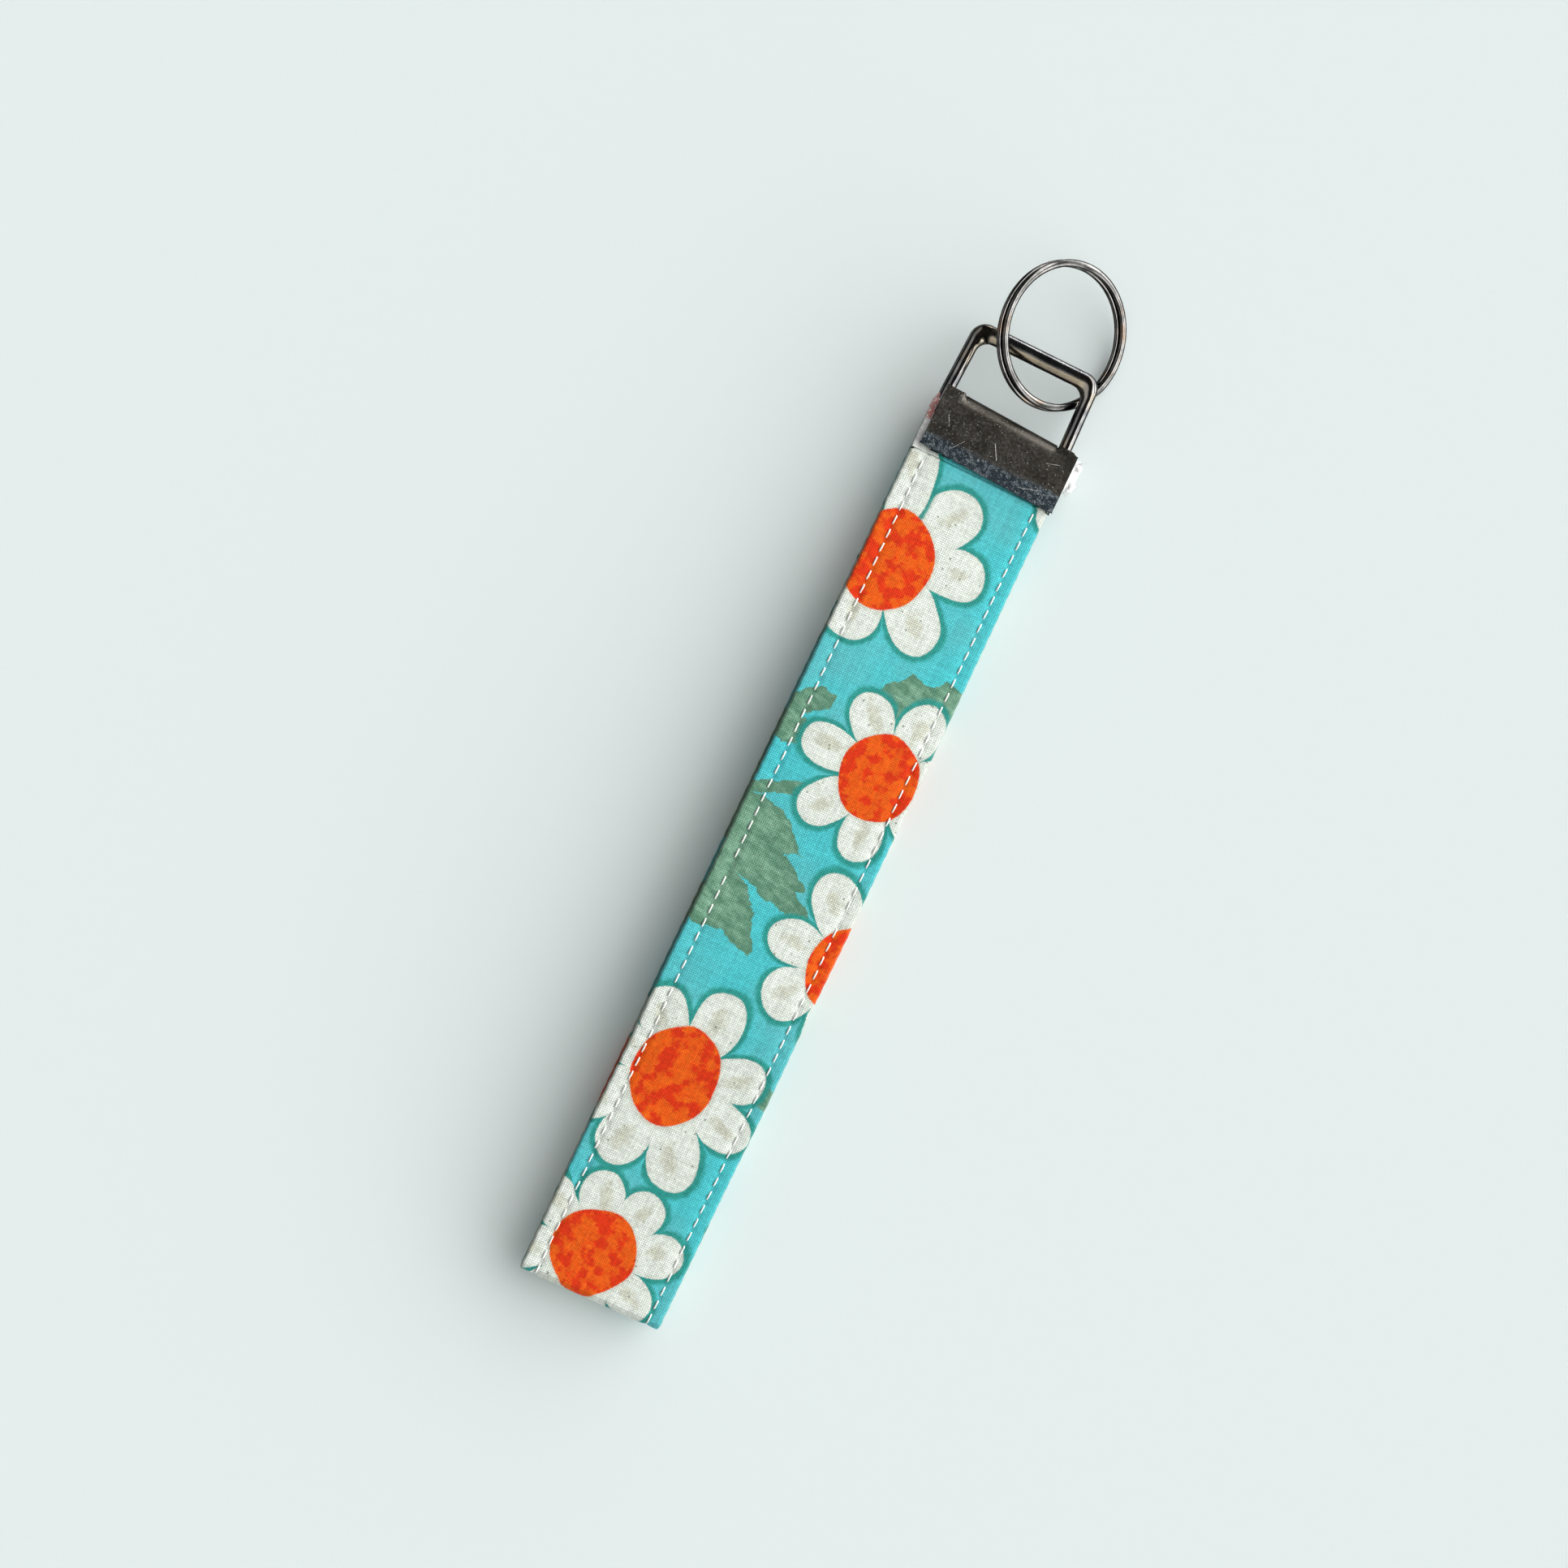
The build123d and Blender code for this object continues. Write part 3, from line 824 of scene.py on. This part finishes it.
def socket():
    """The hollow it turns in, from floor to mouth. It is wider above, where the layer folds up."""
    sections = []
    for low, high in ((82, 82), (72, 76), (60, 69), (45, 61), (30, 53), (15, 45)):
        above, below = ((HALF_THICK * sin(radians(a)) + room, cos(radians(a)))
                        for a, room in ((high, 2 * SOCKET_ROOM), (low, SOCKET_ROOM)))
        sections.append((strap_section(PIVOT_S, above, below), PIVOT_S + above[0]))
    mouth = HALF_THICK * tan(radians(OPEN_TURN) / 2 + TURN / 2) + 2 * SOCKET_ROOM
    sections.append((strap_section(PIVOT_S, (mouth, 1.0), (SOCKET_ROOM, 1.0)), PIVOT_S))
    return sections


def strap_piece(name, start, end, materials, finer=0.0):
    """A length of the strap from S start to S end, with flat ends, or a round end or socket at the pivot."""
    count = max(2, round((end - start) / RING_STEP))
    places = list(np.linspace(start, end, count + 1))
    if finer:
        places = sorted(set(places) | set(np.round(np.linspace(-finer, finer, 41), 4)))
        places = [s for s in places if start - 1e-6 <= s <= end + 1e-6]
    sections = [(strap_section(s), s) for s in places]
    if end == PIVOT_S:
        sections += round_end()
    if start == PIVOT_S:
        sections = socket() + sections[1:]
    points, faces = loft([section for section, _ in sections])
    faces = faces[:-2]  # all but the ends, which are made below
    uvs, slots = [], [0] * len(faces)
    for (_, v0), (_, v1) in zip(sections, sections[1:]):
        for u0, u1 in zip(ROUND_PLACE, ROUND_PLACE[1:]):
            uvs += [(u0, v0), (u1, v0), (u1, v1), (u0, v1)]
    around = len(COLUMNS)
    for ring, flip in ((0, True), (len(sections) - 1, False)):
        v = sections[ring][1]
        for j in range(around // 2):
            quad = list(dict.fromkeys((j, j + 1, around - j - 1, (around - j) % around)))
            if flip:
                quad.reverse()
            faces.append(tuple(ring * around + q for q in quad))
            uvs += [(ROUND_PLACE[q], v) for q in quad]
            slots.append(1 if abs(v) > PIVOT_S + 3 else 0)
    return new_piece(name, points, faces, materials, uvs, slots, angle=50)


def stitch_tube(x, s, side, slant):
    """One stitch, a short plump thread that dives into the cloth at both ends."""
    rings = 9
    sections, uvs_along = [], []
    for i in range(rings):
        t = 2 * i / (rings - 1) - 1
        place = s + PITCH / 2 + t * (PITCH / 2 - STITCH_GAP)
        y, z, normal_y, normal_z = on_line(place)
        lift = face_height(x, place, side) + 0.07 - 0.36 * abs(t) ** 5
        thick = THREAD_RADIUS * (1 - 0.22 * t**4)
        ring = []
        for a in circle(8):
            across = x + slant * t + thick * cos(a)
            up = side * (lift + 0.8 * thick * sin(a))
            ring.append((across, y + normal_y * up, max(z + normal_z * up, 0.0)))
        sections.append(ring if side > 0 else ring[::-1])
        uvs_along.append(place)
    return sections, uvs_along


def thread_piece(name, start, end, material):
    """Needle thread on the outer face and bobbin thread on the inner face, for both rows."""
    parts, uvs = [], []
    first, last = round(start / PITCH), int(end // PITCH + 1e-6)
    for k in range(first, last):
        for row in ROWS:
            for side in (1, -1):
                sway = 0.10 * noise.noise(Vector((k * 0.37, row, side * 2.0)))
                slant = 0.05 * side + rng.uniform(-0.025, 0.025)
                sections, places = stitch_tube(row + sway, k * PITCH, side, slant)
                parts.append(loft(sections))
                around = len(sections[0])
                step = 2 * pi * THREAD_RADIUS / around
                uvs += [(k * 1.7 + (i % around) * step, places[i // around])
                        for face in parts[-1][1] for i in face]
    return new_piece(name, *joined(parts), [material], uvs, angle=70)


def make_strap(cotton, batting, thread):
    """Lengths of one strap. Each meets the next inside a rigid length."""
    back_z, front_z = MIDDLE_Z - HALF_PITCH, MIDDLE_Z + HALF_PITCH
    low, high = HALF_THICK, 2 * MIDDLE_Z - HALF_THICK
    wide, jaw, tight = 12.0, 2.0, 1.8  # half of what each bend is spread over
    lengths = (
        ("back_upper", -TAB_END, -UPPER_JOIN, "clamp", "back_upper", (HINGE_Y[3], jaw, back_z)),
        ("back_mid", -UPPER_JOIN, -LOWER_JOIN, "back_upper", "back_mid", (HINGE_Y[2], wide, low)),
        ("back_lower", -LOWER_JOIN, -FOLD_JOIN, "back_mid", "back_lower", (HINGE_Y[1], wide, low)),
        ("fold_back", -FOLD_JOIN, 0.0, "back_lower", "fold", (HINGE_Y[0], tight, back_z)),
        ("fold_front", 0.0, FOLD_JOIN, "fold", "front_lower", (HINGE_Y[0], -tight, front_z)),
        ("front_lower", FOLD_JOIN, LOWER_JOIN, "front_lower", "front_mid", (HINGE_Y[1], -wide, high)),
        ("front_upper", LOWER_JOIN, PIVOT_S, "front_mid", "front_upper", (HINGE_Y[2], -wide, high)),
        ("front_tab", PIVOT_S, TAB_END, "clamp", "tab", None),
    )
    for name, start, end, body, other, bend in lengths:
        finer = 3.2 if 0.0 in (start, end) else 0.0
        cloth = strap_piece(f"strap_{name}", start, end, [cotton, batting], finer)
        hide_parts(f"{other}_cover", f"{other}_core")
        if bend is None:
            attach(cloth, body)
            continue
        stitches = thread_piece(f"thread_{name}", max(start, -STITCHED_TO), end, thread)
        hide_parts(f"{other}_thread")
        y, spread, z = bend
        for piece in (cloth, stitches):
            [c * MM for c in (0, y + spread, z)]
            [c * MM for c in (0, y - spread, z)]
            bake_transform(piece)


# ---------------------------------------------------------------- clamp

def sheet_rows():
    """The middle of the clamp's sheet, from front lip to back lip: (y, z, angle round the crest)."""
    ends = [-JAW, -8.3, -8.0, -7.5, -6.9, -6.4, -6.1, -5.9, -5.6, -5.0, -4.2, -3.4, -2.6, -1.8, -1.0,
            -0.317, 0.0]
    front = [(y, SHEET_MID - LIP_BEND * max(0.0, -y - JAW + LIP_HEIGHT) / LIP_HEIGHT, 90.0)
             for y in ends]
    arc = [78, 66, 54, NOTCH_FRONT, 31, 20, 10, 0, -10, -20, -31, -NOTCH_FRONT, -54, -66, -78]
    crest = [(SHEET_MID * cos(radians(a)), SHEET_MID * sin(radians(a)), a) for a in arc]
    back = [(y, -z, -90.0 if y > -NOTCH_BACK else -120.0) for y, z, _ in reversed(front)]
    return front + crest + back


def clamp_shell():
    """The bent sheet with rounded corners, notches for the bail's legs, and slight dents."""
    rows = sheet_rows()
    side = [0.0, 0.12, 0.32, 0.6, 1.0, 1.6, 2.4, 3.2]
    half = CLAMP_HALF
    columns = [-half + e for e in side]
    columns += list(np.linspace(-NOTCH_HALF, NOTCH_HALF, 23))
    columns += [half - e for e in reversed(side)]
    round_corner, chamfer = 0.55, 1.0
    mesh = bmesh.new()
    grid = []
    for i, (y, z, angle) in enumerate(rows):
        line = []
        for x in columns:
            inset = half - abs(x)
            here_y, here_z = y, z
            if i in (0, len(rows) - 1) and inset < round_corner:
                here_y += round_corner - sqrt(round_corner**2 - (round_corner - inset) ** 2)
            if NOTCH_FRONT <= angle < 90.0:
                share = (90.0 - angle) / (90.0 - NOTCH_FRONT)
                beside = float(smooth((abs(x) - NOTCH_HALF) / 0.7))
                here_y += (TAB_REACH * share - here_y) * beside
                here_z += (SHEET_MID + TAB_FLARE * share * share - here_z) * beside
            if angle == NOTCH_FRONT and inset < chamfer and x > 0:
                here_y -= 0.5 * (1 - inset / chamfer)
            lip = max(0.0, (-here_y - JAW + LIP_HEIGHT) / LIP_HEIGHT)
            upper = float(smooth((here_y + JAW - LIP_HEIGHT) / CREST_EASE))
            here_y += CREST_REACH * upper - x * (LIP_SKEW + (CREST_SKEW - LIP_SKEW) * upper)
            dent = 0.05 * noise.noise(Vector((x * 0.25, y * 0.3, z * 2.0)))
            dent += 0.07 * lip * noise.noise(Vector((x * 0.55, y * 0.8, 9.0 + z)))
            here_z += dent * (0.8 if z > 0 else -0.8)
            line.append(mesh.verts.new(Vector((CLAMP_X + x, CREST_Y + here_y, MIDDLE_Z + here_z)) * MM))
        grid.append(line)
    for i in range(len(rows) - 1):
        low, high = rows[i][2], rows[i + 1][2]
        for j in range(len(columns) - 1):
            outside = abs(columns[j] + columns[j + 1]) / 2 > NOTCH_HALF
            if outside and low <= NOTCH_FRONT and high >= -90.0:
                continue
            mesh.faces.new((grid[i][j], grid[i + 1][j], grid[i + 1][j + 1], grid[i][j + 1]))
    bmesh.ops.delete(mesh, geom=[v for v in mesh.verts if not v.link_faces], context="VERTS")
    bmesh.ops.recalc_face_normals(mesh, faces=mesh.faces)
    data = bpy.data.meshes.new("clamp_shell")
    mesh.to_mesh(data)
    mesh.free()
    shell = new_object("clamp_shell", data)
    solid = shell.modifiers.new("sheet", "SOLIDIFY")
    solid.thickness, solid.offset = SHEET * MM, 0
    edges = shell.modifiers.new("edges", "BEVEL")
    edges.width, edges.segments, edges.limit_method, edges.angle_limit = 0.11 * MM, 3, "ANGLE", radians(50)
    return settle(shell, 40)


def clamp_teeth():
    """Two rows of small wedges inside the lips, which bite into the strap."""
    y = CREST_Y - JAW + 0.5
    corners = ((-1, -1), (1, -1), (1, 1), (-1, 1))
    parts = []
    for side in (-1, 1):
        for i in range(TEETH):
            x = CLAMP_X + TOOTH_PITCH * (i - (TEETH - 1) / 2)
            points = [(x + 0.7 * a, y + 0.36 * b, MIDDLE_Z + side * TOOTH_ROOT) for a, b in corners]
            points += [(x + 0.45 * a, y + 0.08 * b, MIDDLE_Z + side * TOOTH_TIP) for a, b in corners]
            faces = [(0, 1, 2, 3), (4, 7, 6, 5), (0, 4, 5, 1), (1, 5, 6, 2), (2, 6, 7, 3), (3, 7, 4, 0)]
            parts.append((points, [face[::side] for face in faces]))
    return joined(parts)


def make_clamp(metal):
    shell = clamp_shell()
    shell.data.materials.append(metal)
    teeth = new_piece("clamp_teeth", *clamp_teeth(), [metal], angle=30)
    for piece in (shell, teeth):
        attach(piece, "clamp")
    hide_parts("end_clamp")


# ---------------------------------------------------------------- bail

FOOT_OUT, TOP_OUT = 12.5, 11.9
FOOT_IN = 10.2
BAIL_TOP, WINDOW_TOP = 15.3, 12.3
OUTER_CORNER, INNER_CORNER = 2.9, 2.1


def bail_outline():
    """Matched outer and inner points of the bail's frame, from its left foot to its right foot."""
    outer_y, inner_y = BAIL_TOP - OUTER_CORNER, WINDOW_TOP - INNER_CORNER
    lean = (FOOT_OUT - TOP_OUT) / BAIL_TOP
    pairs = []
    for t in np.linspace(0, 1, 15)[:-1]:
        y0, y1 = t * outer_y, t * inner_y
        pairs.append(((-FOOT_OUT + lean * y0, y0), (-FOOT_IN + lean * y1, y1)))
    outer_x = -FOOT_OUT + lean * outer_y + OUTER_CORNER
    inner_x = -FOOT_IN + lean * inner_y + INNER_CORNER
    for a in np.linspace(0, pi / 2, 15):
        pairs.append(((outer_x - OUTER_CORNER * cos(a), outer_y + OUTER_CORNER * sin(a)),
                      (inner_x - INNER_CORNER * cos(a), inner_y + INNER_CORNER * sin(a))))
    bar = [((outer_x * (1 - t), BAIL_TOP), (inner_x * (1 - t), WINDOW_TOP))
           for t in np.linspace(0, 1, 10)[1:]]
    left = pairs + bar
    right = [((-a[0], a[1]), (-b[0], b[1])) for a, b in reversed(left[:-1])]
    return left + right


def bail_point(x, y, up):
    """From the bail's own plane to the frame."""
    return (BAIL_X + x, CREST_Y + y * cos(BAIL_TILT) - up * sin(BAIL_TILT),
            MIDDLE_Z + y * sin(BAIL_TILT) + up * cos(BAIL_TILT))


def make_bail(metal):
    sections = []
    for outer, inner in bail_outline():
        half = hypot(outer[0] - inner[0], outer[1] - inner[1]) / 2
        middle = ((outer[0] + inner[0]) / 2, (outer[1] + inner[1]) / 2)
        way = ((outer[0] - inner[0]) / (2 * half), (outer[1] - inner[1]) / (2 * half))
        level = smooth((middle[1] - 12.4) / 1.2)
        ring = []
        for a in circle(28):
            across, up = half * cos(a), sin(a)
            if level > 0:
                flat_across = half * copysign(abs(cos(a)) ** 0.55, cos(a))
                flat_up = copysign(abs(sin(a)) ** 0.7, sin(a))
                across += (flat_across - across) * float(level)
                up += (flat_up - up) * float(level)
            facet = 1 - 0.60 * float(level) * max(0.0, (0.1 - across) / half)
            worn = 0.02 * noise.noise(Vector((middle[0] * 0.5 + across, middle[1] * 0.5, up)))
            place = (middle[0] + way[0] * across, middle[1] + way[1] * across)
            ring.append(bail_point(*place, up * facet + worn))
        sections.append(ring)
    frame_part = loft(sections)
    pin_ends = ((-11.6, 0.9), (-11.4, 1.1), (11.6, 1.1), (11.8, 0.9))
    pin_part = loft([[bail_point(x, r * cos(a), r * sin(a)) for a in circle(40)] for x, r in pin_ends])
    bail = new_piece("bail_frame", *joined([frame_part, pin_part]), [metal], angle=35)
    fix_normals(bail)
    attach(bail, "bail")
    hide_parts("bail")


# ---------------------------------------------------------------- split ring

def ring_point(angle, radial, level):
    """From the ring's own plane to the frame."""
    x_dir = Vector((cos(RING_LEAN), 0, -sin(RING_LEAN)))
    normal = Vector((sin(RING_LEAN), 0, cos(RING_LEAN)))
    out = x_dir * cos(angle) + Vector((0, 1, 0)) * sin(angle)
    return tuple(RING_CENTRE + out * (WIRE_CIRCLE + radial) + normal * level)


def make_ring(metal):
    """One wire wound twice. It steps from the lower coil to the upper one over a short jog."""
    first, turn_in, turn_out, last = 341.0, 673.0, 701.0, 1033.0
    sections = []
    steps = 520
    for i in range(steps + 1):
        degrees = first + (last - first) * i / steps
        share = float(smooth((degrees - turn_in) / (turn_out - turn_in)))
        level = COIL_LEVEL * (2 * share - 1)
        slip = (1 - share) * SPRUNG * cos(radians(degrees - SPRUNG_AT))
        end = min(degrees - first, last - degrees)
        taper = 0.86 + 0.14 * min(1.0, end / 1.6)
        ring = []
        for a in circle(20):
            c, s = cos(a), sin(a)
            across = WIRE[0] * taper * copysign(abs(c) ** 0.86, c)
            up = WIRE[1] * taper * copysign(abs(s) ** 0.86, s)
            ring.append(ring_point(radians(degrees), slip + across, level + up))
        sections.append(ring)
    ring = new_piece("split_ring_wire", *loft(sections), [metal], angle=40)
    fix_normals(ring)
    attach(ring, "ring")
    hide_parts("split_ring")


# ---------------------------------------------------------------- frayed batting

def fibre(start, way, length, radius):
    """A thin curly fibre."""
    sections, place = [], Vector(start)
    heading = Vector(way).normalized()
    rings = 7
    for i in range(rings):
        side = heading.orthogonal().normalized()
        other = heading.cross(side)
        thin = radius * (1 - 0.6 * i / (rings - 1))
        sections.append([tuple(place + side * (thin * cos(a)) + other * (thin * sin(a))) for a in circle(3)])
        heading = (heading + Vector([rng.uniform(-0.42, 0.42) for _ in range(3)])).normalized()
        place = place + heading * (length / (rings - 1))
    return loft(sections)


def fluff(centre, size, lumps, seed):
    """A soft uneven lump."""
    mesh = bmesh.new()
    bmesh.ops.create_icosphere(mesh, subdivisions=4, radius=1.0)
    points = []
    for v in mesh.verts:
        n = v.co.normalized()
        swell = 1 + lumps * noise.noise(n * 1.7 + Vector((seed, 0, 0)))
        swell += 0.4 * lumps * noise.noise(n * 4.5 + Vector((0, seed, 0)))
        points.append(tuple(centre[i] + n[i] * size[i] * swell for i in range(3)))
    faces = [tuple(v.index for v in f.verts) for f in mesh.faces]
    mesh.free()
    return points, faces


# Each lump of the tuft: centre, half sizes, lumpiness and seed
TUFT = (
    ((13.75, 64.2, MIDDLE_Z), (1.35, 2.75, 1.05), 0.35, 1.3),
    ((14.15, 62.7, 3.5), (1.15, 1.35, 0.8), 0.4, 4.1),
    ((14.0, 65.8, 3.9), (1.2, 1.2, 0.85), 0.4, 6.2),
)


def make_fray(batting):
    """The batting that stands out of the clamp at the right, and a few loose fibres at the left."""
    parts = [fluff(*lump) for lump in TUFT]
    for _ in range(150):
        y = rng.uniform(61.2, 66.8)
        start = (13.7 + rng.uniform(0, 0.7), y, MIDDLE_Z + rng.uniform(-0.8, 0.8))
        way = (1.0, rng.uniform(-0.6, 0.6) + (y - 64) * 0.12, rng.uniform(-0.5, 0.5))
        parts.append(fibre(start, way, rng.uniform(0.7, 1.7), rng.uniform(0.03, 0.055)))
    tuft = new_piece("batting_tuft", *joined(parts), [batting], angle=60)

    parts = []
    for _ in range(44):
        y = rng.uniform(58.2, 66.6)
        start = (-12.6 + rng.uniform(-0.2, 0.5), y, MIDDLE_Z + rng.uniform(-1.1, 1.1))
        way = (-1.0, rng.uniform(-0.9, 0.9), rng.uniform(-0.4, 0.4))
        parts.append(fibre(start, way, rng.uniform(0.5, 1.0), rng.uniform(0.03, 0.05)))
    parts.append(fluff((-12.35, 64.9, MIDDLE_Z), (0.62, 2.3, 1.3), 0.3, 2.2))
    strands = new_piece("frayed_edge", *joined(parts), [batting], angle=60)
    for piece in (tuft, strands):
        fix_normals(piece)
        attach(piece, "clamp")


make_camera()
make_light()
make_floor()
cotton, batting, thread = cotton_material(), batting_material(), thread_material()
make_strap(cotton, batting, thread)
make_clamp(clamp_material())
make_bail(polished_material("bail_metal", *BAIL_NICKEL, (BAR_LOW, BAR_LOW + BAR_REFLECTION_HEIGHT, BAR_END)))
make_ring(polished_material("ring_steel", *RING_NICKEL))
make_fray(batting)

bpy.context.view_layer.update()
